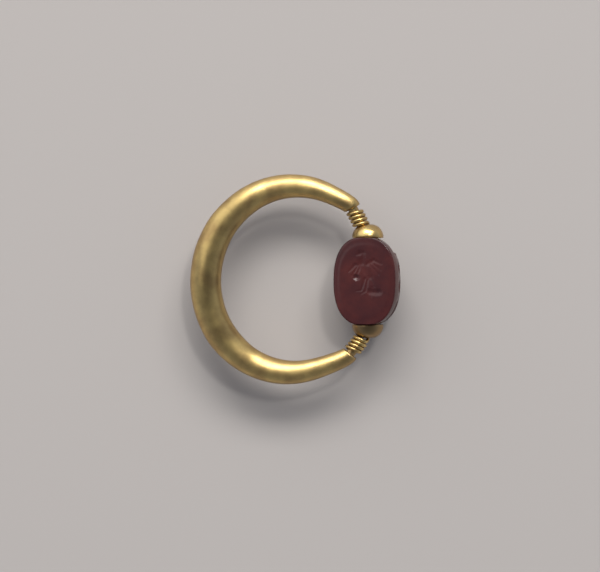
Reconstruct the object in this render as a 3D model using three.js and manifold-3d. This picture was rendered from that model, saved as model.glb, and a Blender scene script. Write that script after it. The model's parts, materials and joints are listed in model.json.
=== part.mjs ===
// Scarab swivel ring: a thick gold hoop, open on one side, whose drawn-down tips carry a drilled stone seal.
// One gold wire runs through the seal and its two end caps, and each of its ends is wound round a tip.
// Units are millimetres. The ring lies flat: the finger hole opens along Z, the swivel axis runs along Y on the
// +X side, the engraved face of the seal looks up, and the origin is the centre of the hoop.
import * as THREE from "three";
import { mergeVertices } from "three/addons/utils/BufferGeometryUtils.js";
import Module from "manifold-3d";

// Hoop, measured on the centreline of the bar
const HOOP_HALF_WIDTH = 11.48;
const HOOP_HALF_HEIGHT = 12.32;
const HOOP_TURN_DEG = -8.2;
const BACK_DIAMETER = 4.15;
const SHOULDER_CHAMFER = 0.14;
const TIP_CHAMFER = 0.22;
const OVAL_HANDLE_SHARE = 0.4;
const SHOULDER_HANDLE_SHARE = 0.16;

// Upper end of the hoop, above the seal
const UPPER_SHOULDER_DIAMETER = 2.3;
const UPPER_LEAN_DEG = 28;
const UPPER_WIRE_RISE = 0.3;
const UPPER_TURNS = 3.75;
const UPPER_TURN_TILT = 0.1;
const UPPER_BEND_DEG = 74;
const UPPER_TAPER_SHARE = 0.47;
const UPPER_TAPER_POWER = 1.5;

// Lower end of the hoop, below the seal
const LOWER_SHOULDER_DIAMETER = 2.3;
const LOWER_LEAN_DEG = 39;
const LOWER_WIRE_RISE = 0.6;
const LOWER_TURNS = 3.75;
const LOWER_TURN_TILT = 0.12;
const LOWER_BEND_DEG = 66;
const LOWER_TAPER_SHARE = 0.36;
const LOWER_TAPER_POWER = 1.15;

// Swivel wire
const WIRE_DIAMETER = 0.48;
const TURN_GAP = 0.06;
const WIRE_CLEARANCE = 0.02;
const SHOULDER_GAP = 0.05;
const WIRE_LIFT = 0.02;
const WIRE_BEND_DEG = 60;
const WIRE_BEND_SHARE = 0.33;

// End caps, which open towards the seal
const CAP_DIAMETER = 4.2;
const CAP_WALL_HEIGHT = 1.0;
const CAP_CROWN_HEIGHT = 0.8;
const CAP_CROWN_SWELL = 0.1;
const CAP_THICKNESS = 0.28;
const CAP_BULGE = 0.07;
const CAP_COLLAR_WIDTH = 0.2;
const CAP_SEAT_GAP = 0.05;
const CAP_HOLE_CLEARANCE = 0.03;

// Seal: length lies along the swivel axis, width across it, height from the engraved face to the beetle's back
const SEAL_LENGTH = 11.3;
const SEAL_END_CUT = 0.185;
const SEAL_FACE_WIDTH = 8.24;
const SEAL_HEIGHT = 6.0;
const SEAL_TURN_DEG = 11;
const SWIVEL_INSET = 1.58;
const SEAL_DROP = 0.26;
const BORE_HEIGHT = 2.8;
const BORE_CLEARANCE = 0.08;
const BORE_OVERRUN = 1;
const FACE_BEVEL = 0.14;
const PLINTH_HEIGHT = 1.35;
const PLINTH_FLARE = 0.26;
const WAIST_DEPTH = 0.34;
const WAIST_HEIGHT = 0.4;
const FLANK_INSET = 0.06;
const FLANK_HEIGHT = 3.0;
const BACK_FALL = 1.2;
const SUTURE_DEPTH = 0.2;
const SUTURE_WIDTH = 0.42;
const LEG_RELIEF = 0.2;
const COLLAR_GROOVE_DEPTH = 0.28;
const COLLAR_GROOVE_WIDTH = 0.3;

// Shape shares of the seal
const OVAL_POWER = 2.45;
const DOME_POWER = 2.3;
const BACK_POWER = 2.4;
const HEAD_LINE_SHARE = 0.66;
const COLLAR_LINE_SHARE = 0.26;
const HEAD_NARROWING_SHARE = 0.34;
const LEG_SHARES = [0.52, 0.1, -0.36];
const LEG_WIDTH_SHARE = 0.13;

// Facets
const HOOP_SIDES = 24;
const HOOP_BEND_STEPS = 8;
const HOOP_BACK_STEPS = 40;
const WIRE_SIDES = 6;
const TURN_STEPS = 24;
const WIRE_BEND_STEPS = 7;
const CAP_SIDES = 32;
const CAP_CROWN_STEPS = 4;
const CAP_WALL_STEPS = 4;
const SEAL_STEPS = 46;
const SEAL_CROWDING = 1.3;
const DOME_STEPS = 9;
const BORE_SIDES = 24;

const GOLD = { color: 0xb08f4e, roughness: 0.3, metalness: 1 };
const CARNELIAN = { color: 0x4a2224, roughness: 0.22, metalness: 0 };

const Z_AXIS = new THREE.Vector3(0, 0, 1);
const wireRadius = WIRE_DIAMETER / 2;
const turnPitch = WIRE_DIAMETER + TURN_GAP;
const swivelX = HOOP_HALF_WIDTH - SWIVEL_INSET;
const sealY = -SEAL_DROP;
const capHeight = CAP_WALL_HEIGHT + CAP_CROWN_HEIGHT;
const capRimReach = SEAL_LENGTH / 2 + CAP_SEAT_GAP;

const UPPER = {
  side: 1,
  shoulderDiameter: UPPER_SHOULDER_DIAMETER,
  lean: THREE.MathUtils.degToRad(UPPER_LEAN_DEG),
  wireRise: UPPER_WIRE_RISE,
  turns: UPPER_TURNS,
  tilt: UPPER_TURN_TILT,
  bend: THREE.MathUtils.degToRad(UPPER_BEND_DEG),
};
const LOWER = {
  side: -1,
  shoulderDiameter: LOWER_SHOULDER_DIAMETER,
  lean: THREE.MathUtils.degToRad(LOWER_LEAN_DEG),
  wireRise: LOWER_WIRE_RISE,
  turns: LOWER_TURNS,
  tilt: LOWER_TURN_TILT,
  bend: THREE.MathUtils.degToRad(LOWER_BEND_DEG),
};

const wasm = await Module();
wasm.setup();

function toSolid(geometry) {
  const bare = geometry.clone();
  bare.deleteAttribute("normal");
  bare.deleteAttribute("uv");
  const merged = mergeVertices(bare);
  const vertProperties = merged.attributes.position.array;
  const triVerts = new Uint32Array(merged.index.array);
  return new wasm.Manifold(new wasm.Mesh({ numProp: 3, vertProperties, triVerts }));
}

function toGeometry(solid) {
  const mesh = solid.getMesh();
  const geometry = new THREE.BufferGeometry();
  geometry.setAttribute("position", new THREE.BufferAttribute(mesh.vertProperties, mesh.numProp));
  geometry.setIndex(new THREE.BufferAttribute(mesh.triVerts, 1));
  return geometry;
}

// Closed skin over rings with the same number of points, each end closed on a centre point.
// Seen along the run, each ring's points go round so that the faces look outwards.
function closedSkin(rings, firstCentre, lastCentre) {
  const count = rings[0].length;
  const points = [...rings.flat(), firstCentre, lastCentre];
  const faces = [];
  const lastRing = (rings.length - 1) * count;
  const firstIndex = rings.length * count;
  for (let i = 0; i < count; i++) {
    const next = (i + 1) % count;
    for (let start = 0; start < lastRing; start += count) {
      faces.push(start + i, start + next, start + count + i);
      faces.push(start + next, start + count + next, start + count + i);
    }
    faces.push(firstIndex, next, i);
    faces.push(firstIndex + 1, lastRing + i, lastRing + next);
  }
  const geometry = new THREE.BufferGeometry().setFromPoints(points);
  geometry.setIndex(faces);
  return geometry;
}

function namedMesh(name, geometry, finish) {
  geometry.computeVertexNormals();
  const mesh = new THREE.Mesh(geometry, new THREE.MeshStandardMaterial({ ...finish, flatShading: true }));
  mesh.name = name;
  return mesh;
}

// One tip of the hoop: its straight axis starts where the wire's first turn lies, beside the swivel axis, and
// runs along `inward` to the shoulder. `outward` points from the tip's axis to the swivel axis.
function tipOf(end) {
  const inward = new THREE.Vector3(-Math.sin(end.lean), end.side * Math.cos(end.lean), 0);
  const outward = new THREE.Vector3(Math.cos(end.lean), end.side * Math.sin(end.lean), 0);
  const capTop = sealY + end.side * (capRimReach + capHeight);
  const coreRadius = end.shoulderDiameter / 2 - WIRE_DIAMETER - WIRE_CLEARANCE;
  const turnRadius = coreRadius + WIRE_CLEARANCE + wireRadius;
  const firstTurn = new THREE.Vector3(swivelX, capTop + end.side * end.wireRise, 0);
  const start = firstTurn.addScaledVector(outward, -turnRadius).addScaledVector(inward, end.tilt);
  const shoulderFace = end.turns * turnPitch + end.tilt + wireRadius + SHOULDER_GAP;
  const barStart = shoulderFace + SHOULDER_CHAMFER;
  return { ...end, inward, outward, capTop, coreRadius, turnRadius, start, shoulderFace, barStart };
}

const upperTip = tipOf(UPPER);
const lowerTip = tipOf(LOWER);

function alongTip(tip, distance) {
  return tip.start.clone().addScaledVector(tip.inward, distance);
}

// Point and direction on the hoop's turned oval, counter-clockwise from the +X side.
function ovalAt(angle) {
  const turn = THREE.MathUtils.degToRad(HOOP_TURN_DEG);
  const point = new THREE.Vector3(HOOP_HALF_WIDTH * Math.cos(angle), HOOP_HALF_HEIGHT * Math.sin(angle), 0);
  const along = new THREE.Vector3(-HOOP_HALF_WIDTH * Math.sin(angle), HOOP_HALF_HEIGHT * Math.cos(angle), 0);
  return { at: point.applyAxisAngle(Z_AXIS, turn), along: along.normalize().applyAxisAngle(Z_AXIS, turn) };
}

// The bend between a shoulder and the oval, tangent to both and sharpest beside the shoulder.
function bendStations(from, to, fromShare, toShare) {
  const span = from.at.distanceTo(to.at);
  const curve = new THREE.CubicBezierCurve3(
    from.at,
    from.at.clone().addScaledVector(from.along, fromShare * span),
    to.at.clone().addScaledVector(to.along, -toShare * span),
    to.at,
  );
  const stations = [];
  for (let i = 1; i < HOOP_BEND_STEPS; i++) {
    const share = i / HOOP_BEND_STEPS;
    stations.push({ at: curve.getPoint(share), along: curve.getTangent(share) });
  }
  return stations;
}

// Stations of the tapered bar from the upper shoulder round the back to the lower shoulder.
function barStations() {
  const upperShoulder = { at: alongTip(upperTip, upperTip.barStart), along: upperTip.inward };
  const lowerShoulder = { at: alongTip(lowerTip, lowerTip.barStart), along: lowerTip.inward.clone().negate() };
  const firstAngle = UPPER.bend;
  const lastAngle = 2 * Math.PI - LOWER.bend;
  const back = [];
  for (let i = 0; i <= HOOP_BACK_STEPS; i++) {
    back.push(ovalAt(firstAngle + ((lastAngle - firstAngle) * i) / HOOP_BACK_STEPS));
  }
  const upperBend = bendStations(upperShoulder, back[0], SHOULDER_HANDLE_SHARE, OVAL_HANDLE_SHARE);
  const lowerBend = bendStations(back[HOOP_BACK_STEPS], lowerShoulder, OVAL_HANDLE_SHARE, SHOULDER_HANDLE_SHARE);
  return [upperShoulder, ...upperBend, ...back, ...lowerBend, lowerShoulder];
}

// Diameter of the bar at a share of its length from the upper shoulder: full over the back, drawn down both ways.
function barDiameter(share) {
  const upperLack = Math.max(0, 1 - share / UPPER_TAPER_SHARE) ** UPPER_TAPER_POWER;
  const lowerLack = Math.max(0, 1 - (1 - share) / LOWER_TAPER_SHARE) ** LOWER_TAPER_POWER;
  const upperFall = (BACK_DIAMETER - UPPER_SHOULDER_DIAMETER) * upperLack;
  const lowerFall = (BACK_DIAMETER - LOWER_SHOULDER_DIAMETER) * lowerLack;
  return BACK_DIAMETER - upperFall - lowerFall;
}

function hoopRing(at, along, radius) {
  const sideways = new THREE.Vector3().crossVectors(Z_AXIS, along);
  const ring = [];
  for (let i = 0; i < HOOP_SIDES; i++) {
    const angle = (2 * Math.PI * i) / HOOP_SIDES;
    const point = at.clone().addScaledVector(sideways, radius * Math.cos(angle));
    ring.push(point.addScaledVector(Z_AXIS, radius * Math.sin(angle)));
  }
  return ring;
}

// Rings of one tip, from its chamfered end to the face of the shoulder, which stands flush with the wound wire.
function tipRings(tip, along) {
  const shoulderRadius = tip.shoulderDiameter / 2;
  return [
    hoopRing(alongTip(tip, 0), along, tip.coreRadius - TIP_CHAMFER),
    hoopRing(alongTip(tip, TIP_CHAMFER), along, tip.coreRadius),
    hoopRing(alongTip(tip, tip.shoulderFace), along, tip.coreRadius),
    hoopRing(alongTip(tip, tip.shoulderFace), along, shoulderRadius - SHOULDER_CHAMFER),
  ];
}

function hoopGeometry() {
  const stations = barStations();
  const lengths = [0];
  for (let i = 1; i < stations.length; i++) {
    lengths.push(lengths[i - 1] + stations[i].at.distanceTo(stations[i - 1].at));
  }
  const whole = lengths[lengths.length - 1];
  const bar = stations.map((station, i) => {
    return hoopRing(station.at, station.along, barDiameter(lengths[i] / whole) / 2);
  });
  const upperRings = tipRings(upperTip, upperTip.inward);
  const lowerRings = tipRings(lowerTip, lowerTip.inward.clone().negate()).reverse();
  return closedSkin([...upperRings, ...bar, ...lowerRings], upperTip.start, lowerTip.start);
}

// Centre of the wound wire after an angle round the tip: it leaves the outer side and passes over the front first.
// The turns tilt a little, nearer to the cap on the outer side.
function turnPoint(tip, angle) {
  const point = alongTip(tip, (turnPitch * angle) / (2 * Math.PI) - tip.tilt * Math.cos(angle));
  point.addScaledVector(tip.outward, tip.turnRadius * Math.cos(angle));
  return point.addScaledVector(Z_AXIS, tip.turnRadius * Math.sin(angle));
}

function turnDirection(tip, angle) {
  const direction = tip.inward.clone().multiplyScalar(turnPitch / (2 * Math.PI) + tip.tilt * Math.sin(angle));
  direction.addScaledVector(tip.outward, -tip.turnRadius * Math.sin(angle));
  return direction.addScaledVector(Z_AXIS, tip.turnRadius * Math.cos(angle)).normalize();
}

// Centre points of one end of the wire, from the top of the cap to the cut end beside the shoulder.
function woundPoints(tip) {
  const leaving = new THREE.Vector3(swivelX, tip.capTop + tip.side * WIRE_LIFT, 0);
  const upright = new THREE.Vector3(0, tip.side, 0);
  const firstAngle = THREE.MathUtils.degToRad(WIRE_BEND_DEG);
  const landing = turnPoint(tip, firstAngle);
  const handle = WIRE_BEND_SHARE * leaving.distanceTo(landing);
  const bend = new THREE.CubicBezierCurve3(
    leaving,
    leaving.clone().addScaledVector(upright, handle),
    landing.clone().addScaledVector(turnDirection(tip, firstAngle), -handle),
    landing,
  );
  const points = bend.getPoints(WIRE_BEND_STEPS);
  const lastAngle = 2 * Math.PI * tip.turns;
  const steps = Math.round(((lastAngle - firstAngle) / (2 * Math.PI)) * TURN_STEPS);
  for (let i = 1; i <= steps; i++) {
    points.push(turnPoint(tip, firstAngle + ((lastAngle - firstAngle) * i) / steps));
  }
  const cutEnd = points[points.length - 1].clone();
  return [...points, cutEnd.addScaledVector(turnDirection(tip, lastAngle), WIRE_DIAMETER)];
}

// A round wire along a run of points; each ring is carried on from the last one without twisting.
function wireGeometry(points) {
  const rings = [];
  let sideways = Z_AXIS.clone();
  points.forEach((point, i) => {
    const before = points[Math.max(i - 1, 0)];
    const after = points[Math.min(i + 1, points.length - 1)];
    const along = after.clone().sub(before).normalize();
    sideways = sideways.clone().addScaledVector(along, -sideways.dot(along)).normalize();
    const across = new THREE.Vector3().crossVectors(along, sideways);
    const ring = [];
    for (let j = 0; j < WIRE_SIDES; j++) {
      const angle = (2 * Math.PI * j) / WIRE_SIDES;
      const corner = point.clone().addScaledVector(sideways, wireRadius * Math.cos(angle));
      ring.push(corner.addScaledVector(across, wireRadius * Math.sin(angle)));
    }
    rings.push(ring);
  });
  return closedSkin(rings, points[0], points[points.length - 1]);
}

// Least gap between stretches of the wire that lie over half a turn apart, measured on its centre points.
function leastGap(points, halfTurn) {
  const lengths = [0];
  for (let i = 1; i < points.length; i++) {
    lengths.push(lengths[i - 1] + points[i].distanceTo(points[i - 1]));
  }
  let least = Infinity;
  for (let i = 0; i < points.length; i++) {
    for (let j = i + 1; j < points.length; j++) {
      if (lengths[j] - lengths[i] < halfTurn) continue;
      least = Math.min(least, points[i].distanceTo(points[j]) - WIRE_DIAMETER);
    }
  }
  return least;
}

// Half section of a cap as radius and height over its rim: bulged wall, cone crown, collar round the wire.
function capSection() {
  const radius = CAP_DIAMETER / 2;
  const hole = wireRadius + CAP_HOLE_CLEARANCE;
  const collar = hole + CAP_COLLAR_WIDTH;
  const section = [];
  for (let i = 0; i <= CAP_WALL_STEPS; i++) {
    const share = i / CAP_WALL_STEPS;
    const bulge = CAP_BULGE * Math.sin(Math.PI * share);
    section.push(new THREE.Vector2(radius - CAP_BULGE + bulge, CAP_WALL_HEIGHT * share));
  }
  const wallTop = section[CAP_WALL_STEPS];
  const collarTop = new THREE.Vector2(collar, capHeight);
  const crownMiddle = wallTop.clone().lerp(collarTop, 1 / 2);
  crownMiddle.y += CAP_CROWN_SWELL;
  const crown = new THREE.QuadraticBezierCurve(wallTop, crownMiddle, collarTop);
  section.push(...crown.getPoints(CAP_CROWN_STEPS).slice(1));
  section.push(new THREE.Vector2(hole, capHeight));
  section.push(new THREE.Vector2(hole, capHeight - CAP_THICKNESS));
  section.push(new THREE.Vector2(collar, capHeight - CAP_THICKNESS));
  section.push(new THREE.Vector2(radius - CAP_BULGE - CAP_THICKNESS, CAP_WALL_HEIGHT - CAP_THICKNESS / 2));
  section.push(new THREE.Vector2(radius - CAP_BULGE - CAP_THICKNESS, 0));
  section.push(section[0].clone());
  return section;
}

function endCap(name, end) {
  const cap = namedMesh(name, new THREE.LatheGeometry(capSection(), CAP_SIDES), GOLD);
  cap.position.set(swivelX, sealY + end.side * capRimReach, 0);
  cap.rotation.x = end.side > 0 ? 0 : Math.PI;
  return cap;
}

// Half width of the engraved face at a place along the seal: an oval with a little cut off square at both ends.
function faceHalfWidth(along) {
  const reach = Math.abs(along / (SEAL_LENGTH / 2 + SEAL_END_CUT)) ** OVAL_POWER;
  return (SEAL_FACE_WIDTH / 2) * (1 - reach) ** (1 / OVAL_POWER);
}

// A narrow rise or groove across the seal, 1 on its line and 0 away from it.
function ridge(distance, width) {
  return Math.exp(-((distance / width) ** 2));
}

// 1 on the beetle's head, 0 on the rest of its body, with a short slope where the collar ends.
function onHead(along) {
  const start = (HEAD_LINE_SHARE * SEAL_LENGTH) / 2;
  return THREE.MathUtils.smoothstep(along, start, start + COLLAR_GROOVE_WIDTH);
}

// Height of the beetle's back over the engraved face, with the grooves before and behind its collar.
function backHeight(along) {
  const half = SEAL_LENGTH / 2;
  const fall = BACK_FALL * Math.abs(along / half) ** BACK_POWER;
  const headLine = ridge(along - HEAD_LINE_SHARE * half, COLLAR_GROOVE_WIDTH);
  const collarLine = ridge(along - COLLAR_LINE_SHARE * half, COLLAR_GROOVE_WIDTH);
  return SEAL_HEIGHT - fall - COLLAR_GROOVE_DEPTH * (headLine + collarLine);
}

// One cross-section of the beetle as half width and height over the engraved face, from the face to the back.
function sealHalfSection(along) {
  const half = SEAL_LENGTH / 2;
  const face = faceHalfWidth(along);
  const plinth = face + PLINTH_FLARE;
  const legs = LEG_SHARES.reduce((sum, share) => sum + ridge(along - share * half, LEG_WIDTH_SHARE * half), 0);
  const flank = (plinth - FLANK_INSET) * (1 - HEAD_NARROWING_SHARE * onHead(along));
  const waist = flank - WAIST_DEPTH;
  const hollow = flank - LEG_RELIEF * (1 - Math.min(1, legs));
  const flankStart = PLINTH_HEIGHT + WAIST_HEIGHT;
  const top = backHeight(along);
  const behindCollar = along < COLLAR_LINE_SHARE * half ? 1 : 0;
  const section = [
    [face - FACE_BEVEL, 0],
    [face, FACE_BEVEL],
    [plinth, PLINTH_HEIGHT],
    [waist, PLINTH_HEIGHT + WAIST_HEIGHT / 3],
    [hollow - FLANK_INSET, flankStart],
    [hollow, (flankStart + FLANK_HEIGHT) / 2],
  ];
  for (let i = 0; i < DOME_STEPS; i++) {
    const angle = ((Math.PI / 2) * i) / DOME_STEPS;
    const outward = flank * Math.cos(angle) ** (2 / DOME_POWER);
    section.push([outward, FLANK_HEIGHT + (top - FLANK_HEIGHT) * Math.sin(angle) ** (2 / DOME_POWER)]);
  }
  section.push([SUTURE_WIDTH / 2, top]);
  section.push([0, top - SUTURE_DEPTH * behindCollar]);
  return section;
}

// Cross-sections stand square to the swivel axis. Local z is measured up from the bore, towards the face.
function sealGeometry() {
  const half = SEAL_LENGTH / 2;
  const rings = [];
  for (let i = 0; i <= SEAL_STEPS; i++) {
    const share = Math.sin(SEAL_CROWDING * ((2 * i) / SEAL_STEPS - 1)) / Math.sin(SEAL_CROWDING);
    const along = half * share;
    const section = sealHalfSection(along);
    const rightSide = section.map(([x, height]) => new THREE.Vector3(x, along, BORE_HEIGHT - height));
    const leftSide = section.map(([x, height]) => new THREE.Vector3(-x, along, BORE_HEIGHT - height));
    leftSide.pop();
    rings.push([...rightSide, ...leftSide.reverse()]);
  }
  const stone = toSolid(closedSkin(rings, new THREE.Vector3(0, -half, 0), new THREE.Vector3(0, half, 0)));
  const boreRadius = wireRadius + BORE_CLEARANCE;
  const boreLength = SEAL_LENGTH + 2 * BORE_OVERRUN;
  const bore = toSolid(new THREE.CylinderGeometry(boreRadius, boreRadius, boreLength, BORE_SIDES));
  return toGeometry(stone.subtract(bore));
}

const wirePoints = [...woundPoints(lowerTip).reverse(), ...woundPoints(upperTip)];
const halfTurn = Math.PI * Math.min(upperTip.turnRadius, lowerTip.turnRadius);
console.log("least gap of the wire to itself, mm:", leastGap(wirePoints, halfTurn).toFixed(3));

const scarab = namedMesh("scarab", sealGeometry(), CARNELIAN);
scarab.position.set(swivelX, sealY, 0);
scarab.rotation.y = -THREE.MathUtils.degToRad(SEAL_TURN_DEG);

const ring = new THREE.Group();
ring.add(namedMesh("hoop", hoopGeometry(), GOLD));
ring.add(namedMesh("swivel_wire", wireGeometry(wirePoints), GOLD));
ring.add(endCap("upper_cap", UPPER));
ring.add(endCap("lower_cap", LOWER));
ring.add(scarab);

export default ring;
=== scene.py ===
import json
import math
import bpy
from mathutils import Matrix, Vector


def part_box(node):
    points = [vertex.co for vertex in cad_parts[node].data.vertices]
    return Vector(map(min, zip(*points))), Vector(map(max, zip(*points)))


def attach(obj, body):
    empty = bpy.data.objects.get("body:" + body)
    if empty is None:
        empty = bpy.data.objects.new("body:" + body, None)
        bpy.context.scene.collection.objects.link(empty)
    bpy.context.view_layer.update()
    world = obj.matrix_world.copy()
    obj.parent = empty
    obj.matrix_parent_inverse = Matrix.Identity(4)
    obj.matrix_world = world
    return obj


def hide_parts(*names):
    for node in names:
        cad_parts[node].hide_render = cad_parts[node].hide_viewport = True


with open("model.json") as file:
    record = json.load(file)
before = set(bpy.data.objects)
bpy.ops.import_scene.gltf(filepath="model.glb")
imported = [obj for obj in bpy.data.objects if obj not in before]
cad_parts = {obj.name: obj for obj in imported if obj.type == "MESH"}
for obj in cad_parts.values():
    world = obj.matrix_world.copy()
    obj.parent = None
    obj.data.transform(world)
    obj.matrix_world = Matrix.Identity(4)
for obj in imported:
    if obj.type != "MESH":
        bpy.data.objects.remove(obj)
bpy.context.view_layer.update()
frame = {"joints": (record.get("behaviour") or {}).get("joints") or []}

from types import SimpleNamespace

import bpy
from mathutils import Vector, noise

# Places that the frame gives: the swivel axis, the caps' rims and crowns, and the seal's ends
swivel = Vector(frame["joints"][0]["pos_m"])
upper_cap_low, upper_cap_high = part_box("upper_cap")
lower_cap_low, lower_cap_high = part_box("lower_cap")
seal_low, seal_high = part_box("scarab")

# Hoop: the bar's centreline is an oval, turned a little, and the bar is thickest at the back
HOOP_HALF_WIDTH = 0.01148
HOOP_HALF_HEIGHT = 0.01232
HOOP_TURN = math.radians(-8.2)
BACK_DIAMETER = 0.00415
SHOULDER_CHAMFER = 0.00014
TIP_CHAMFER = 0.00022
OVAL_HANDLE_SHARE = 0.4
SHOULDER_HANDLE_SHARE = 0.16
HOOP_SIDES = 48
HOOP_BACK_STEPS = 76
HOOP_BEND_STEPS = 14
CREASE_WIDTH = 0.00005
HAMMER_DEPTH = 0.00004
HAMMER_SPACING = 0.0034
HAMMER_FADE_REACH = 0.004
HOOP_ROUNDING = 1
HOOP_SMOOTH_ANGLE = math.radians(35)

# Wire
WIRE_DIAMETER = 0.00048
TURN_PITCH = 0.00054
WIRE_CLEARANCE = 0.00002
SHOULDER_GAP = 0.00005
WIRE_LIFT = 0.00002
WIRE_BEND = math.radians(60)
WIRE_BEND_SHARE = 0.33
TURN_STEPS = 36
WIRE_BEND_STEPS = 10
WIRE_SIDE_STEPS = 3
WIRE_SMOOTH_ANGLE = math.radians(50)

# The two ends of the hoop, each with its shoulder, its lean to the swivel axis and its winding
ENDS = {
    "upper": dict(side=1, shoulder=0.0023, lean=28, rise=0.0003, turns=3.75, tilt=0.0001, bend=74),
    "lower": dict(side=-1, shoulder=0.0023, lean=39, rise=0.0006, turns=3.75, tilt=0.00012, bend=66),
}
UPPER_TAPER_SHARE = 0.47
UPPER_TAPER_POWER = 1.5
LOWER_TAPER_SHARE = 0.36
LOWER_TAPER_POWER = 1.15

# Caps
CAP_WALL_SHARE = 0.555
CAP_THICKNESS = 0.00028
CAP_BULGE = 0.00007
CAP_DOME_POWER = 2.05
CAP_COLLAR_WIDTH = 0.0002
CAP_HOLE_CLEARANCE = 0.00003
CAP_SIDES = 72
CAP_CROWN_STEPS = 18
CAP_EDGE_ROUND = 0.00005
CAP_EDGE_STEPS = 3
CAP_EDGE_ANGLE = math.radians(40)
CAP_SMOOTH_ANGLE = math.radians(35)

# Seal: heights are measured from the engraved face to the beetle's back
SEAL_FACE_HALF_WIDTH = 0.00412
SEAL_HEIGHT = 0.006
SEAL_TURN = math.radians(11)
SEAL_END_CUT = 0.000185
SEAL_OVAL_POWER = 2.45
BORE_HEIGHT = 0.0028
FACE_BEVEL = 0.00014
PLINTH_HEIGHT = 0.00135
PLINTH_FLARE = 0.00026
WAIST_DEPTH = 0.00034
WAIST_HEIGHT = 0.0004
FLANK_HEIGHT = 0.003
FLANK_INSET = 0.00006
BACK_FALL = 0.0012
BACK_POWER = 2.4
DOME_POWER = 2.3
SEAL_SIDES = 64
SEAL_ROUNDING = 2
SEAL_SMOOTH_ANGLE = math.radians(40)
CREASE = 0.00003
FACE_RING_SHARES = (0.04, 0.12, 0.2, 0.28, 0.36, 0.44, 0.52, 0.6, 0.68, 0.76, 0.84, 0.9, 0.935)
DOME_RING_SHARES = (0, 0.1, 0.2, 0.3, 0.4, 0.5, 0.6, 0.7, 0.8, 0.88, 0.95, 0.99)
SUTURE_DEPTH = 0.0002
SUTURE_WIDTH = 0.00042
WING_LINE = 0.0034
WING_LINE_DEPTH = 0.00008
EYE_GROOVE_PLACE = 0.0011
EYE_GROOVE_DEPTH = 0.00014
LEG_RELIEF = 0.0002
LEG_SHARES = (0.52, 0.1, -0.36)
LEG_WIDTH_SHARE = 0.13
HEAD_NARROWING_SHARE = 0.34
HEAD_LINE_SHARE = 0.66
COLLAR_LINE_SHARE = 0.26
COLLAR_GROOVE_DEPTH = 0.00028
COLLAR_GROOVE_WIDTH = 0.0003
LINE_BOW = 0.0004

# Engraving: each cut is its two ends, the wheel's radius at each, and its depth
BORDER_INSET = 0.00056
BORDER_WIDTH = 0.0004
BORDER_DEPTH = 0.00001
CUT_WEAR_SHARE = 1.5
CUT_DEPTH_SHARE = 0.25
CUT_BLEND_POWER = 2.5
EDGE_FALL = 0.00005
EDGE_FALL_WIDTH = 0.0009
DEVICE = (
    (-0.0005, 0.00365, -0.0002, 0.00368, 0.00036, 0.0003, 0.00022),
    (-0.0011, 0.00345, -0.0006, 0.0036, 0.00009, 0.00018, 0.00008),
    (-0.0002, 0.0033, -0.00035, 0.0024, 0.00026, 0.0004, 0.00018),
    (-0.00035, 0.0024, 0.0007, 0.0005, 0.00052, 0.0004, 0.00028),
    (0.0007, 0.0005, 0.0013, -0.0008, 0.00036, 0.00018, 0.0002),
    (-0.0003, 0.0022, -0.0012, 0.0021, 0.00032, 0.00026, 0.0002),
    (-0.0012, 0.0021, -0.0021, 0.0012, 0.00026, 0.0001, 0.00018),
    (-0.0009, 0.0019, -0.0017, 0.0006, 0.00018, 0.00008, 0.00014),
    (-0.0006, 0.0018, -0.0012, 0.0003, 0.00018, 0.00008, 0.00014),
    (0.0003, 0.0022, 0.0012, 0.0027, 0.00032, 0.00026, 0.0002),
    (0.0012, 0.0027, 0.0023, 0.0022, 0.00026, 0.0001, 0.00018),
    (0.001, 0.0024, 0.0022, 0.0014, 0.00018, 0.00008, 0.00014),
    (0.0008, 0.0021, 0.0019, 0.0008, 0.00018, 0.00008, 0.00014),
    (0.0001, 0.0003, -0.0004, -0.0012, 0.0002, 0.00014, 0.00016),
    (-0.0004, -0.0012, -0.0011, -0.0013, 0.00014, 0.00008, 0.0001),
    (0.0004, 0.0001, 0.0002, -0.0013, 0.0002, 0.00014, 0.00016),
    (0.0002, -0.0013, -0.0005, -0.0017, 0.00014, 0.00008, 0.0001),
    (0.0012, -0.0007, 0.0015, -0.0019, 0.0002, 0.0001, 0.00014),
    (0.001, -0.0008, 0.0009, -0.002, 0.00018, 0.0001, 0.00012),
    (0.0008, -0.0014, 0.0019, -0.00145, 0.00038, 0.00038, 0.00027),
    (-0.0011, 0.0005, -0.00102, 0.00046, 0.00034, 0.00034, 0.00056),
)

# Gold: bright and worn tones mottle it, and painted shade darkens each piece below the heights given for
# it
GOLD = (0.75, 0.542, 0.213)
GOLD_WORN = (0.53, 0.358, 0.147)
# Dark brown painted shade, mixed into each piece's lower side
GOLD_PAINTED_SHADE = (0.34, 0.225, 0.11)
MOTTLE_SCALE = 420
MOTTLE_DETAIL = 5
MOTTLE_WORN_END = 0.36
MOTTLE_BRIGHT_START = 0.6
WEAR_SCALE = 900
WEAR_DETAIL = 8
SCRATCH_DETAIL = 6
SCRATCH_STRENGTH = 0.25
SCRATCH_DEPTH = 0.00003
RUB_STRENGTH = 0.8
QUARTER_TURN = 0.25
GOLD_FINISHES = {
    "hoop_gold": dict(scratch_scale=500, shade_heights=(-0.0004, 0.0015), roughness=(0.24, 0.39), rubbed=True),
    "wire_gold": dict(scratch_scale=1400, shade_heights=(-0.0004, 0.0011), roughness=(0.22, 0.36)),
    "upper_cap_gold": dict(scratch_scale=900, shade_heights=(-0.0004, 0.0016), roughness=(0.22, 0.36)),
    # The lower cap is darkened nearly all over: painted shade for the stone's shadow on it
    "lower_cap_gold": dict(scratch_scale=900, shade_heights=(0.0014, 0.007), roughness=(0.26, 0.42)),
}

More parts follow.
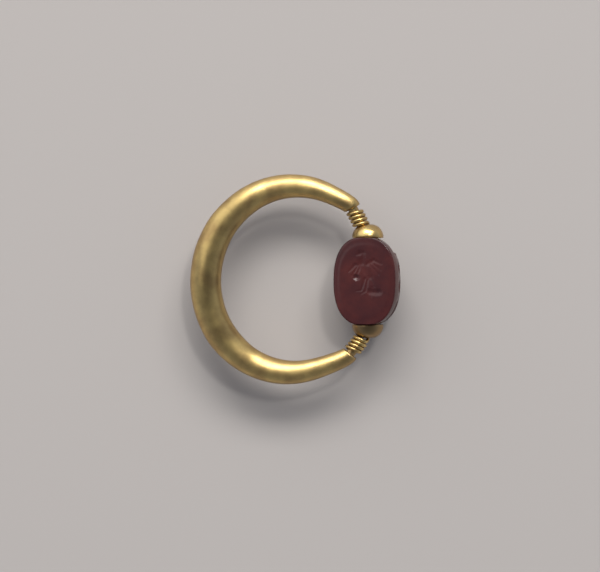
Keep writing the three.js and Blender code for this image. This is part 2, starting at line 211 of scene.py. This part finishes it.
# Carnelian: dark stone with redder clouds
CARNELIAN_DARK = (0.042, 0.013, 0.016)
CARNELIAN_RED = (0.088, 0.021, 0.02)
CARNELIAN_ROUGHNESS = 0.21
CARNELIAN_IOR = 1.54
CARNELIAN_SPECULAR = 0.36
CLOUD_SCALE = 240
CLOUD_DETAIL = 7
CLOUD_ROUGHNESS = 0.62
CLOUD_DARK_END = 0.34
CLOUD_RED_START = 0.68

# Floor
FLOOR_COLOUR = (0.515, 0.479, 0.46)
FLOOR_ROUGHNESS = 0.9
FLOOR_SPECULAR = 0.1
FLOOR_SIDE = 3
FLOOR_GAP = 0.00004

# Lamps: azimuth, elevation, width, height, and share of the light that reaches the floor
LAMP_DISTANCE = 1.2
WARM = (1, 0.985, 0.95)
LAMPS = {
    "key_lamp": (85, 41, 1.2, 0.36, 0.55),
    "left_panel": (128, 38, 1.5, 1.5, 0.24),
    "high_lamp": (61, 62, 0.13, 0.13, 0.15),
}

# Room: cool, brighter at the horizon than overhead, and darker on the side away from the lamps
COOL = (0.81, 0.87, 1)
HORIZON_LIGHT = 0.78
OVERHEAD_LIGHT = 0.16
DARK_SIDE_SHARE = 0.4

# Camera: straight above, at the scale of a picture whose pixels show where the hoop's centre lies
PIXEL = 0.000132
PICTURE_WIDTH = 600
PICTURE_HEIGHT = 572
CENTRE_ACROSS = 292.8
CENTRE_DOWN = 279.2
CAMERA_LENS = 150
CAMERA_SENSOR = 36
CAMERA_NEAR = 0.01
CAMERA_FAR = 10


def deselect_all():
    bpy.ops.object.select_all(action="DESELECT")


def select_only(piece):
    deselect_all()
    piece.select_set(True)
    bpy.context.view_layer.objects.active = piece


def start_editing():
    """Opens the active piece's mesh with all of it selected."""
    bpy.ops.object.mode_set(mode="EDIT")
    bpy.ops.mesh.select_all(action="SELECT")


def end_editing():
    """Turns all faces outward and leaves the mesh."""
    bpy.ops.mesh.select_all(action="SELECT")
    bpy.ops.mesh.normals_make_consistent(inside=False)
    bpy.ops.object.mode_set(mode="OBJECT")


def name_piece(name):
    piece = bpy.context.object
    piece.name = name
    piece.data.name = name
    return piece


def settle(piece):
    """Puts the piece's place into its mesh, so that its object sits at the origin."""
    select_only(piece)
    bpy.ops.object.transform_apply(location=True, rotation=True, scale=True)


def apply_modifier(piece, modifier):
    bpy.context.view_layer.objects.active = piece
    bpy.ops.object.modifier_apply(modifier=modifier.name)


def subdivide(piece, levels):
    rounding = piece.modifiers.new("rounding", "SUBSURF")
    rounding.levels = rounding.render_levels = levels
    apply_modifier(piece, rounding)


def smooth(piece, angle):
    select_only(piece)
    bpy.ops.object.shade_smooth_by_angle(angle=angle)


def tip_of(end):
    """One straight tip of the hoop, from the wire's first turn at the swivel axis to the shoulder."""
    lean = math.radians(end["lean"])
    side = end["side"]
    inward = Vector((-math.sin(lean), side * math.cos(lean), 0))
    outward = Vector((math.cos(lean), side * math.sin(lean), 0))
    cap_top = upper_cap_high.y if side > 0 else lower_cap_low.y
    turn_radius = end["shoulder"] / 2 - WIRE_DIAMETER / 2
    core_radius = turn_radius - WIRE_DIAMETER / 2 - WIRE_CLEARANCE
    first_turn = Vector((swivel.x, cap_top + side * end["rise"], 0))
    start = first_turn - outward * turn_radius + inward * end["tilt"]
    face = end["turns"] * TURN_PITCH + end["tilt"] + WIRE_DIAMETER / 2 + SHOULDER_GAP
    return SimpleNamespace(**end, inward=inward, outward=outward, cap_top=cap_top,
                           turn_radius=turn_radius, core_radius=core_radius, start=start, face=face)


upper_tip = tip_of(ENDS["upper"])
lower_tip = tip_of(ENDS["lower"])


def oval_at(angle):
    """Point and heading on the hoop's centreline, counter-clockwise from the seal's side."""
    x = HOOP_HALF_WIDTH * math.cos(angle)
    y = HOOP_HALF_HEIGHT * math.sin(angle)
    along_x = -HOOP_HALF_WIDTH * math.sin(angle)
    along_y = HOOP_HALF_HEIGHT * math.cos(angle)
    c = math.cos(HOOP_TURN)
    s = math.sin(HOOP_TURN)
    point = Vector((x * c - y * s, x * s + y * c, 0))
    along = Vector((along_x * c - along_y * s, along_x * s + along_y * c, 0)).normalized()
    return point, along


def bezier(a, b, c, d, t):
    return a * (1 - t) ** 3 + b * 3 * t * (1 - t) ** 2 + c * 3 * t * t * (1 - t) + d * t ** 3


def bezier_along(a, b, c, d, t):
    return ((b - a) * (1 - t) ** 2 + (c - b) * 2 * t * (1 - t) + (d - c) * t * t).normalized()


def bend_stations(start, end, start_share, end_share):
    """The bend between a shoulder and the oval, tangent to both and sharpest beside the shoulder."""
    span = (end[0] - start[0]).length
    leaving = start[0] + start[1] * start_share * span
    arriving = end[0] - end[1] * end_share * span
    handles = (start[0], leaving, arriving, end[0])
    shares = [i / HOOP_BEND_STEPS for i in range(1, HOOP_BEND_STEPS)]
    return [(bezier(*handles, t), bezier_along(*handles, t)) for t in shares]


def bar_diameter(share):
    """The bar's thickness at a share of its length: full at the back, less towards both shoulders."""
    upper_lack = max(0, 1 - share / UPPER_TAPER_SHARE) ** UPPER_TAPER_POWER
    lower_lack = max(0, 1 - (1 - share) / LOWER_TAPER_SHARE) ** LOWER_TAPER_POWER
    upper_fall = (BACK_DIAMETER - upper_tip.shoulder) * upper_lack
    lower_fall = (BACK_DIAMETER - lower_tip.shoulder) * lower_lack
    return BACK_DIAMETER - upper_fall - lower_fall


def bar_stations():
    """Centre, heading and radius along the bar, from the upper shoulder round to the lower one."""
    upper_face = upper_tip.face + SHOULDER_CHAMFER
    lower_face = lower_tip.face + SHOULDER_CHAMFER
    first = (upper_tip.start + upper_tip.inward * upper_face, upper_tip.inward)
    last = (lower_tip.start + lower_tip.inward * lower_face, -lower_tip.inward)
    start_angle = math.radians(upper_tip.bend)
    end_angle = 2 * math.pi - math.radians(lower_tip.bend)
    step = (end_angle - start_angle) / HOOP_BACK_STEPS
    back = [oval_at(start_angle + i * step) for i in range(HOOP_BACK_STEPS + 1)]
    places = [first] + bend_stations(first, back[0], SHOULDER_HANDLE_SHARE, OVAL_HANDLE_SHARE)
    places += back + bend_stations(back[-1], last, OVAL_HANDLE_SHARE, SHOULDER_HANDLE_SHARE) + [last]
    lengths = [0]
    for before, after in zip(places, places[1:]):
        lengths.append(lengths[-1] + (after[0] - before[0]).length)
    return [(p, along, bar_diameter(s / lengths[-1]) / 2) for (p, along), s in zip(places, lengths)]


def tip_stations(tip, along):
    """Rings of a tip from its chamfered end to the shoulder's face, with a close ring at each crease."""
    core = tip.core_radius
    shoulder = tip.shoulder / 2
    runs = [
        (0, core - TIP_CHAMFER), (TIP_CHAMFER, core), (TIP_CHAMFER + CREASE_WIDTH * 2, core),
        (tip.face - CREASE_WIDTH, core), (tip.face, core), (tip.face, core + CREASE_WIDTH),
        (tip.face, shoulder - SHOULDER_CHAMFER),
    ]
    return [(tip.start + tip.inward * run, along, radius) for run, radius in runs]


def make_hoop():
    """The bar is one disc extruded through its stations, turned and drawn down at each."""
    stations = tip_stations(upper_tip, upper_tip.inward) + bar_stations()
    stations += tip_stations(lower_tip, -lower_tip.inward)[::-1]
    centre, along, radius = stations[0]
    heading = math.atan2(along.y, along.x)
    deselect_all()
    bpy.ops.mesh.primitive_circle_add(vertices=HOOP_SIDES, radius=radius, fill_type="NGON",
                                      location=centre, rotation=(0, math.pi / 2, heading))
    piece = name_piece("gold_hoop")
    settle(piece)
    start_editing()
    for next_centre, next_along, next_radius in stations[1:]:
        next_heading = math.atan2(next_along.y, next_along.x)
        turn = (next_heading - heading + math.pi) % (2 * math.pi) - math.pi
        scale = next_radius / radius
        bpy.ops.mesh.extrude_region_move(TRANSFORM_OT_translate={"value": next_centre - centre})
        bpy.ops.transform.rotate(value=-turn, orient_axis="Z", center_override=next_centre)
        bpy.ops.transform.resize(value=(scale, scale, scale), center_override=next_centre)
        centre, heading, radius = next_centre, next_heading, next_radius
    end_editing()
    subdivide(piece, HOOP_ROUNDING)
    for vertex in piece.data.vertices:
        place = vertex.co / HAMMER_SPACING
        reach = min(1, abs(vertex.co.x - swivel.x) / HAMMER_FADE_REACH)
        vertex.co += vertex.normal * (HAMMER_DEPTH * reach * (noise.noise(place) - 0.5))
    smooth(piece, HOOP_SMOOTH_ANGLE)
    return piece


def turn_point(tip, angle):
    """Centre of the wound wire at an angle round the tip."""
    run =TURN_PITCH * angle / (2 * math.pi) - tip.tilt * math.cos(angle)
    point = tip.start + tip.inward * run + tip.outward * (tip.turn_radius * math.cos(angle))
    return point + Vector((0, 0, tip.turn_radius * math.sin(angle)))


def turn_direction(tip, angle):
    """Heading of the wound wire at an angle round the tip."""
    along = tip.inward * (TURN_PITCH / (2 * math.pi) + tip.tilt * math.sin(angle))
    along -= tip.outward * (tip.turn_radius * math.sin(angle))
    return (along + Vector((0, 0, tip.turn_radius * math.cos(angle)))).normalized()


def wound_points(tip):
    """Centre points of one end of the wire, from the cap's top to the cut end beside the shoulder."""
    leaving = Vector((swivel.x, tip.cap_top + tip.side * WIRE_LIFT, 0))
    landing = turn_point(tip, WIRE_BEND)
    handle = WIRE_BEND_SHARE * (landing - leaving).length
    upright = Vector((0, tip.side, 0))
    rising = leaving + upright * handle
    falling = landing - turn_direction(tip, WIRE_BEND) * handle
    curve = (leaving, rising, falling, landing)
    points = [bezier(*curve, i / WIRE_BEND_STEPS) for i in range(WIRE_BEND_STEPS + 1)]
    last = 2 * math.pi * tip.turns
    steps = round((last - WIRE_BEND) / (2 * math.pi) * TURN_STEPS)
    points += [turn_point(tip, WIRE_BEND + (last - WIRE_BEND) * (i + 1) / steps) for i in range(steps)]
    return points + [points[-1] + turn_direction(tip, last) * WIRE_DIAMETER]


def make_wire():
    """One round wire through the caps and the seal, wound round both tips."""
    points = wound_points(lower_tip)[::-1] + wound_points(upper_tip)
    curve = bpy.data.curves.new("swivel_wire_gold", "CURVE")
    curve.dimensions = "3D"
    curve.bevel_depth = WIRE_DIAMETER / 2
    curve.bevel_resolution = WIRE_SIDE_STEPS
    curve.use_fill_caps = True
    spline = curve.splines.new("POLY")
    spline.points.add(len(points) - 1)
    for target, point in zip(spline.points, points):
        target.co = (*point, 1)
    piece = bpy.data.objects.new("gold_wire", curve)
    bpy.context.scene.collection.objects.link(piece)
    select_only(piece)
    bpy.ops.object.convert(target="MESH")
    piece = bpy.context.object
    smooth(piece, WIRE_SMOOTH_ANGLE)
    return piece


def cap_profile(cap_height, cap_radius):
    """Radius and height over the rim, up the swollen wall and the round crown, and down again inside."""
    wall = cap_height * CAP_WALL_SHARE
    hole = WIRE_DIAMETER / 2 + CAP_HOLE_CLEARANCE
    collar = hole + CAP_COLLAR_WIDTH
    profile = [(cap_radius - CAP_BULGE, 0)]
    for i in range(1, CAP_CROWN_STEPS):
        angle = math.pi / 2 * i / CAP_CROWN_STEPS
        reach = math.cos(angle) ** (2 / CAP_DOME_POWER)
        rise = math.sin(angle) ** (2 / CAP_DOME_POWER)
        profile.append((collar + (cap_radius - collar) * reach, cap_height * rise))
    profile.append((collar, cap_height))
    inside = cap_radius - CAP_BULGE - CAP_THICKNESS
    ceiling = cap_height - CAP_THICKNESS
    profile += [(hole, cap_height), (hole, ceiling), (collar, ceiling)]
    profile += [(inside, wall - CAP_THICKNESS / 2), (inside, 0)]
    return profile


def make_cap(name, rim, crown, radius):
    """A ring at the rim, extruded through the cap's profile and bridged back to the start."""
    side = 1 if crown > rim else -1
    profile = cap_profile(abs(crown - rim), radius)
    start_radius, start_height = profile[0]
    deselect_all()
    bpy.ops.mesh.primitive_circle_add(vertices=CAP_SIDES, radius=start_radius, fill_type="NOTHING",
                                      location=(swivel.x, rim, 0), rotation=(math.pi / 2, 0, 0))
    piece = name_piece(name)
    settle(piece)
    start_editing()
    last_radius, last_height = start_radius, start_height
    for next_radius, height in profile[1:]:
        centre = Vector((swivel.x, rim + side * height, 0))
        scale = next_radius / last_radius
        step = (0, side * (height - last_height), 0)
        bpy.ops.mesh.extrude_region_move(TRANSFORM_OT_translate={"value": step})
        bpy.ops.transform.resize(value=(scale, 1, scale), center_override=centre)
        last_radius, last_height = next_radius, height
    bpy.ops.mesh.select_all(action="DESELECT")
    bpy.ops.mesh.select_mode(type="EDGE")
    bpy.ops.mesh.select_non_manifold()
    bpy.ops.mesh.bridge_edge_loops()
    end_editing()
    worn_edges = piece.modifiers.new("worn edges", "BEVEL")
    worn_edges.width = CAP_EDGE_ROUND
    worn_edges.segments = CAP_EDGE_STEPS
    worn_edges.limit_method = "ANGLE"
    worn_edges.angle_limit = CAP_EDGE_ANGLE
    apply_modifier(piece, worn_edges)
    smooth(piece, CAP_SMOOTH_ANGLE)
    return piece


def superellipse(angle, power):
    """A place on an oval of unit size, squarer as the power grows."""
    c = math.cos(angle)
    s = math.sin(angle)
    across = math.copysign(abs(c) ** (2 / power), c)
    along = math.copysign(abs(s) ** (2 / power), s)
    return across, along


def seal_levels(half_length):
    """Half width, half length and height of each oval, from the engraved face to the back."""
    face = SEAL_FACE_HALF_WIDTH
    plinth = face + PLINTH_FLARE
    flank = plinth - FLANK_INSET
    levels = [(face * share, half_length * share, 0) for share in FACE_RING_SHARES]
    waist = flank - WAIST_DEPTH
    levels += [
        (face - FACE_BEVEL - CREASE, half_length - FACE_BEVEL - CREASE, 0),
        (face - FACE_BEVEL + CREASE, half_length - FACE_BEVEL + CREASE, CREASE),
        (face - CREASE, half_length, FACE_BEVEL - CREASE),
        (face, half_length, FACE_BEVEL + CREASE),
        ((face + plinth) / 2, half_length, PLINTH_HEIGHT / 2),
        (plinth, half_length, PLINTH_HEIGHT - CREASE),
        (plinth - CREASE, half_length, PLINTH_HEIGHT),
        (waist + CREASE, half_length, PLINTH_HEIGHT + CREASE),
        (waist, half_length, PLINTH_HEIGHT + WAIST_HEIGHT / 3),
        (flank - FLANK_INSET, half_length, PLINTH_HEIGHT + WAIST_HEIGHT),
        (flank, half_length, (PLINTH_HEIGHT + WAIST_HEIGHT + FLANK_HEIGHT) / 2),
    ]
    for share in DOME_RING_SHARES:
        angle = math.pi / 2 * share
        height = FLANK_HEIGHT + (SEAL_HEIGHT - FLANK_HEIGHT) * math.sin(angle) ** (2 / DOME_POWER)
        reach = min(1, ((SEAL_HEIGHT - height) / BACK_FALL) ** (1 / BACK_POWER))
        levels.append((flank * math.cos(angle) ** (2 / DOME_POWER), half_length * reach, height))
    return levels


def make_scarab_blank():
    """An oval disc extruded through the seal's levels, finely divided and cut square at both ends."""
    half_length = (seal_high.y - seal_low.y) / 2
    levels = seal_levels(half_length + SEAL_END_CUT)
    deselect_all()
    bpy.ops.mesh.primitive_circle_add(vertices=SEAL_SIDES, radius=1, fill_type="NGON",
                                      location=(0, 0, 0))
    piece = name_piece("carnelian_scarab")
    width, length, height = levels[0]
    for vertex in piece.data.vertices:
        across, along = superellipse(math.atan2(vertex.co.y, vertex.co.x), SEAL_OVAL_POWER)
        vertex.co = (across * width, along * length, 0)
    start_editing()
    for next_width, next_length, next_height in levels[1:]:
        bpy.ops.mesh.extrude_region_move(TRANSFORM_OT_translate={"value": (0, 0, next_height - height)})
        bpy.ops.transform.resize(value=(next_width / width, next_length / length, 1),
                                 center_override=(0, 0, next_height))
        width, length, height = next_width, next_length, next_height
    end_editing()
    subdivide(piece, SEAL_ROUNDING)
    for vertex in piece.data.vertices:
        vertex.co.y = max(-half_length, min(half_length, vertex.co.y))
    return piece


def ridge(distance, width):
    return math.exp(-((distance / width) ** 2))


def slope(value, start, end):
    """0 before the start, 1 after the end, and smooth between."""
    share = max(0, min(1, (value - start) / (end - start)))
    return share * share * (3 - 2 * share)


def cut_depth(x, along, cut):
    """Depth of one worn, round-bottomed cut at a place: it runs from one point to another and tapers."""
    x0, y0, x1, y1, radius, end_radius, depth = cut
    run_x, run_y = x1 - x0, y1 - y0
    share = ((x - x0) * run_x + (along - y0) * run_y) / (run_x * run_x + run_y * run_y)
    share = max(0, min(1, share))
    here = (radius + (end_radius - radius) * share) * CUT_WEAR_SHARE
    gap = math.hypot(x - x0 - run_x * share, along - y0 - run_y * share) / here
    return depth * CUT_DEPTH_SHARE * here / radius * (1 - gap * gap) ** 2 if gap < 1 else 0


def carve_face(x, along, rim):
    """The device on the face, deepest where cuts meet, inside one faint border line and a worn edge."""
    depth = BORDER_DEPTH * ridge(rim - BORDER_INSET, BORDER_WIDTH / 2)
    worn = EDGE_FALL * (1 - slope(rim, 0, EDGE_FALL_WIDTH))
    cuts = sum(cut_depth(x, along, cut) ** CUT_BLEND_POWER for cut in DEVICE)
    return worn + depth + cuts ** (1 / CUT_BLEND_POWER)


def carve_back(x, along, half_length):
    """Grooves of the beetle's back: wing cases' suture and borders, the collar's two lines, the eyes."""
    head_line = HEAD_LINE_SHARE * half_length - LINE_BOW * (x / SEAL_FACE_HALF_WIDTH) ** 2
    collar_line = COLLAR_LINE_SHARE * half_length - LINE_BOW * (x / SEAL_FACE_HALF_WIDTH) ** 2
    behind = 1 - slope(along, collar_line - SUTURE_WIDTH, collar_line)
    depth = COLLAR_GROOVE_DEPTH * (ridge(along - head_line, COLLAR_GROOVE_WIDTH)
                                   + ridge(along - collar_line, COLLAR_GROOVE_WIDTH))
    depth += SUTURE_DEPTH * behind * ridge(x, SUTURE_WIDTH / 2)
    on_head = slope(along, head_line, head_line + SUTURE_WIDTH)
    depth += EYE_GROOVE_DEPTH * on_head * ridge(abs(x) - EYE_GROOVE_PLACE, SUTURE_WIDTH / 3)
    border = WING_LINE * math.sqrt(max(0, 1 - (along / half_length) ** 2))
    return depth + WING_LINE_DEPTH * behind * ridge(abs(x) - border, SUTURE_WIDTH / 3)


def make_scarab():
    """The stone is carved on its blank: device and border into the face, beetle out of the rest."""
    piece = make_scarab_blank()
    half_length = (seal_high.y - seal_low.y) / 2
    leg_width = LEG_WIDTH_SHARE * half_length
    head_start = HEAD_LINE_SHARE * half_length
    for vertex in piece.data.vertices:
        x, along, height = vertex.co
        if height < FACE_BEVEL / 2:
            crosswise = abs(x / SEAL_FACE_HALF_WIDTH) ** SEAL_OVAL_POWER
            lengthwise = abs(along / (half_length + SEAL_END_CUT)) ** SEAL_OVAL_POWER
            rim = 1 - (crosswise + lengthwise) ** (1 / SEAL_OVAL_POWER)
            vertex.co.z += carve_face(x, along, rim * SEAL_FACE_HALF_WIDTH)
            continue
        on_flank = slope(height, PLINTH_HEIGHT, PLINTH_HEIGHT + WAIST_HEIGHT)
        legs = min(1, sum(ridge(along - share * half_length, leg_width) for share in LEG_SHARES))
        under_back = 1 - slope(height, FLANK_HEIGHT - WAIST_HEIGHT, FLANK_HEIGHT)
        relief = LEG_RELIEF * (1 - legs) * on_flank * under_back
        on_head = slope(along, head_start, head_start + COLLAR_GROOVE_WIDTH)
        narrowing = HEAD_NARROWING_SHARE * on_flank * on_head
        vertex.co.x -= math.copysign(min(relief, abs(x)), x) + x * narrowing
        on_back = slope(height, FLANK_HEIGHT, FLANK_HEIGHT + WAIST_HEIGHT)
        vertex.co.z -= on_back * carve_back(x, along, half_length)
    # The face goes on top, which turns the mesh inside out until its faces are set outward again
    for vertex in piece.data.vertices:
        vertex.co.z = BORE_HEIGHT - vertex.co.z
    start_editing()
    end_editing()
    piece.rotation_euler = (0, -SEAL_TURN, 0)
    piece.location = swivel
    settle(piece)
    smooth(piece, SEAL_SMOOTH_ANGLE)
    return piece


def shader(material):
    """The material's node tree and its surface shader."""
    tree = material.node_tree
    for node in tree.nodes:
        if node.type == "BSDF_PRINCIPLED":
            return tree, node
    return tree, tree.nodes.new("ShaderNodeBsdfPrincipled")


def set_ramp(ramp, first_end, first_colour, second_start, second_colour):
    """A ramp that holds one colour up to a place, blends, and holds the other from the next place on."""
    first, second = ramp.color_ramp.elements
    first.position = first_end
    first.color = (*first_colour, 1)
    second.position = second_start
    second.color = (*second_colour, 1)


def rub_round_hole(tree, surface, where):
    """Fine rubbing along the bar, round the finger hole, which draws each highlight out across it."""
    along = tree.nodes.new("ShaderNodeVectorMath")
    along.operation = "CROSS_PRODUCT"
    along.inputs[0].default_value = (0, 0, 1)
    tree.links.new(where.outputs["Object"], along.inputs[1])
    unit = tree.nodes.new("ShaderNodeVectorMath")
    unit.operation = "NORMALIZE"
    tree.links.new(along.outputs["Vector"], unit.inputs[0])
    tree.links.new(unit.outputs["Vector"], surface.inputs["Tangent"])
    surface.inputs["Anisotropic"].default_value = RUB_STRENGTH
    surface.inputs["Anisotropic Rotation"].default_value = QUARTER_TURN


def gold_material(name, scratch_scale, shade_heights, roughness, rubbed=False):
    """Mottled gold: a brown painted shade fades in below two heights, and roughness varies between two
    ends.
    """
    shade_low, shade_high = shade_heights
    smoothest, roughest = roughness
    material = bpy.data.materials.new(name)
    material.use_nodes = True
    tree, surface = shader(material)
    nodes, links = tree.nodes, tree.links
    surface.inputs["Metallic"].default_value = 1
    where = nodes.new("ShaderNodeTexCoord")
    mottle = nodes.new("ShaderNodeTexNoise")
    mottle.inputs["Scale"].default_value = MOTTLE_SCALE
    mottle.inputs["Detail"].default_value = MOTTLE_DETAIL
    tone = nodes.new("ShaderNodeValToRGB")
    set_ramp(tone, MOTTLE_WORN_END, GOLD_WORN, MOTTLE_BRIGHT_START, GOLD)
    links.new(where.outputs["Object"], mottle.inputs["Vector"])
    links.new(mottle.outputs["Fac"], tone.inputs["Fac"])
    split = nodes.new("ShaderNodeSeparateXYZ")
    links.new(where.outputs["Object"], split.inputs["Vector"])
    height = nodes.new("ShaderNodeMapRange")
    height.interpolation_type = "SMOOTHSTEP"
    height.inputs["From Min"].default_value = shade_low
    height.inputs["From Max"].default_value = shade_high
    links.new(split.outputs["Z"], height.inputs["Value"])
    # Painted shade: below the given heights the gold is mixed toward dark brown
    shaded = nodes.new("ShaderNodeMix")
    shaded.data_type = "RGBA"
    shaded.inputs["A"].default_value = (*GOLD_PAINTED_SHADE, 1)
    links.new(height.outputs["Result"], shaded.inputs["Factor"])
    links.new(tone.outputs["Color"], shaded.inputs["B"])
    links.new(shaded.outputs["Result"], surface.inputs["Base Color"])
    wear = nodes.new("ShaderNodeTexNoise")
    wear.inputs["Scale"].default_value = WEAR_SCALE
    wear.inputs["Detail"].default_value = WEAR_DETAIL
    links.new(where.outputs["Object"], wear.inputs["Vector"])
    rough = nodes.new("ShaderNodeMapRange")
    rough.inputs["To Min"].default_value = smoothest
    rough.inputs["To Max"].default_value = roughest
    links.new(wear.outputs["Fac"], rough.inputs["Value"])
    links.new(rough.outputs["Result"], surface.inputs["Roughness"])
    scratches = nodes.new("ShaderNodeTexNoise")
    scratches.inputs["Scale"].default_value = scratch_scale
    scratches.inputs["Detail"].default_value = SCRATCH_DETAIL
    links.new(where.outputs["Object"], scratches.inputs["Vector"])
    bump = nodes.new("ShaderNodeBump")
    bump.inputs["Strength"].default_value = SCRATCH_STRENGTH
    bump.inputs["Distance"].default_value = SCRATCH_DEPTH
    links.new(scratches.outputs["Fac"], bump.inputs["Height"])
    links.new(bump.outputs["Normal"], surface.inputs["Normal"])
    if rubbed:
        rub_round_hole(tree, surface, where)
    return material


def carnelian_material():
    """Polished dark stone, clouded with red."""
    material = bpy.data.materials.new("dark_carnelian")
    material.use_nodes = True
    tree, surface = shader(material)
    nodes, links = tree.nodes, tree.links
    surface.inputs["Roughness"].default_value = CARNELIAN_ROUGHNESS
    surface.inputs["IOR"].default_value = CARNELIAN_IOR
    surface.inputs["Specular IOR Level"].default_value = CARNELIAN_SPECULAR
    where = nodes.new("ShaderNodeTexCoord")
    cloud = nodes.new("ShaderNodeTexNoise")
    cloud.inputs["Scale"].default_value = CLOUD_SCALE
    cloud.inputs["Detail"].default_value = CLOUD_DETAIL
    cloud.inputs["Roughness"].default_value = CLOUD_ROUGHNESS
    tone = nodes.new("ShaderNodeValToRGB")
    set_ramp(tone, CLOUD_DARK_END, CARNELIAN_DARK, CLOUD_RED_START, CARNELIAN_RED)
    links.new(where.outputs["Object"], cloud.inputs["Vector"])
    links.new(cloud.outputs["Fac"], tone.inputs["Fac"])
    links.new(tone.outputs["Color"], surface.inputs["Base Color"])
    return material


def finish_with(piece, material, slot, body, *nodes):
    """Dresses a piece, says what body it rides with, and hides the solids it stands for. The slot
    argument is not used.
    """
    piece.data.materials.clear()
    piece.data.materials.append(material)
    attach(piece, body)
    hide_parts(*nodes)


def make_floor(seal):
    """A wide pale floor, level, just clear of the seal as it turns all the way round."""
    reach = max(math.hypot(v.co.x - swivel.x, v.co.z - swivel.z) for v in seal.data.vertices)
    floor_height = swivel.z - reach - FLOOR_GAP
    deselect_all()
    bpy.ops.mesh.primitive_plane_add(size=FLOOR_SIDE, location=(swivel.x, 0, floor_height))
    floor = name_piece("floor")
    material = bpy.data.materials.new("pale_floor")
    material.use_nodes = True
    tree, surface = shader(material)
    surface.inputs["Roughness"].default_value = FLOOR_ROUGHNESS
    surface.inputs["Specular IOR Level"].default_value = FLOOR_SPECULAR
    surface.inputs["Base Color"].default_value = (*FLOOR_COLOUR, 1)
    floor.data.materials.append(material)


def lamp(name, azimuth, elevation, width, height, floor_share):
    """A flat warm lamp aimed at the ring, as strong as the share of the floor's light it gives."""
    light = bpy.data.lights.new(name, "AREA")
    light.shape = "RECTANGLE"
    light.size = width
    light.size_y = height
    around = math.radians(azimuth)
    up = math.radians(elevation)
    light.energy = floor_share * (math.pi * LAMP_DISTANCE) ** 2 / math.sin(up)
    light.color = WARM
    holder = bpy.data.objects.new(name, light)
    bpy.context.scene.collection.objects.link(holder)
    level = math.cos(up)
    way = Vector((math.cos(around) * level, math.sin(around) * level, math.sin(up)))
    holder.location = way * LAMP_DISTANCE
    holder.rotation_euler = (-way).to_track_quat("-Z", "Y").to_euler()


def make_lights():
    """Two broad lamps beyond the upper cap, a small high one that makes glints, and a cool room."""
    for name, setting in LAMPS.items():
        lamp(name, *setting)
    world = bpy.data.worlds.new("studio")
    bpy.context.scene.world = world
    world.use_nodes = True
    nodes, links = world.node_tree.nodes, world.node_tree.links
    background = nodes["Background"]
    background.inputs["Color"].default_value = (*COOL, 1)
    where = nodes.new("ShaderNodeTexCoord")
    split = nodes.new("ShaderNodeSeparateXYZ")
    fall = nodes.new("ShaderNodeMapRange")
    fall.inputs["To Min"].default_value = HORIZON_LIGHT
    fall.inputs["To Max"].default_value = OVERHEAD_LIGHT
    links.new(where.outputs["Generated"], split.inputs["Vector"])
    links.new(split.outputs["Z"], fall.inputs["Value"])
    away = nodes.new("ShaderNodeMapRange")
    away.inputs["From Min"].default_value = -1
    away.inputs["To Min"].default_value = DARK_SIDE_SHARE
    links.new(split.outputs["Y"], away.inputs["Value"])
    both = nodes.new("ShaderNodeMath")
    both.operation = "MULTIPLY"
    links.new(fall.outputs["Result"], both.inputs[0])
    links.new(away.outputs["Result"], both.inputs[1])
    links.new(both.outputs["Value"], background.inputs["Strength"])


def make_camera():
    """Looks straight down, so that the hoop's centre falls on the pixel given for it."""
    camera = bpy.data.cameras.new("camera")
    camera.lens = CAMERA_LENS
    camera.sensor_width = CAMERA_SENSOR
    camera.clip_start = CAMERA_NEAR
    camera.clip_end = CAMERA_FAR
    across = (PICTURE_WIDTH / 2 - CENTRE_ACROSS) * PIXEL
    along = (CENTRE_DOWN - PICTURE_HEIGHT / 2) * PIXEL
    up = PICTURE_WIDTH * PIXEL * CAMERA_LENS / CAMERA_SENSOR
    holder = bpy.data.objects.new("camera", camera)
    bpy.context.scene.collection.objects.link(holder)
    holder.location = (across, along, up)
    holder.rotation_euler = (0, 0, 0)
    bpy.context.scene.camera = holder


hoop_gold, wire_gold, upper_cap_gold, lower_cap_gold = (
    gold_material(name, **finish) for name, finish in GOLD_FINISHES.items()
)
carnelian = carnelian_material()

make_camera()
cap_radius = (upper_cap_high.x - upper_cap_low.x) / 2
hoop = make_hoop()
wire = make_wire()
upper_cap = make_cap("gold_upper_cap", upper_cap_low.y, upper_cap_high.y, cap_radius)
lower_cap = make_cap("gold_lower_cap", lower_cap_high.y, lower_cap_low.y, cap_radius)
scarab = make_scarab()
finish_with(hoop, hoop_gold, "gold", "hoop", "hoop")
finish_with(wire, wire_gold, "gold", "hoop", "swivel_wire")
finish_with(upper_cap, upper_cap_gold, "gold", "hoop", "upper_cap")
finish_with(lower_cap, lower_cap_gold, "gold", "hoop", "lower_cap")
finish_with(scarab, carnelian, "carnelian", "scarab", "scarab")
make_floor(scarab)
make_lights()
bpy.context.scene.view_settings.view_transform = "Standard"
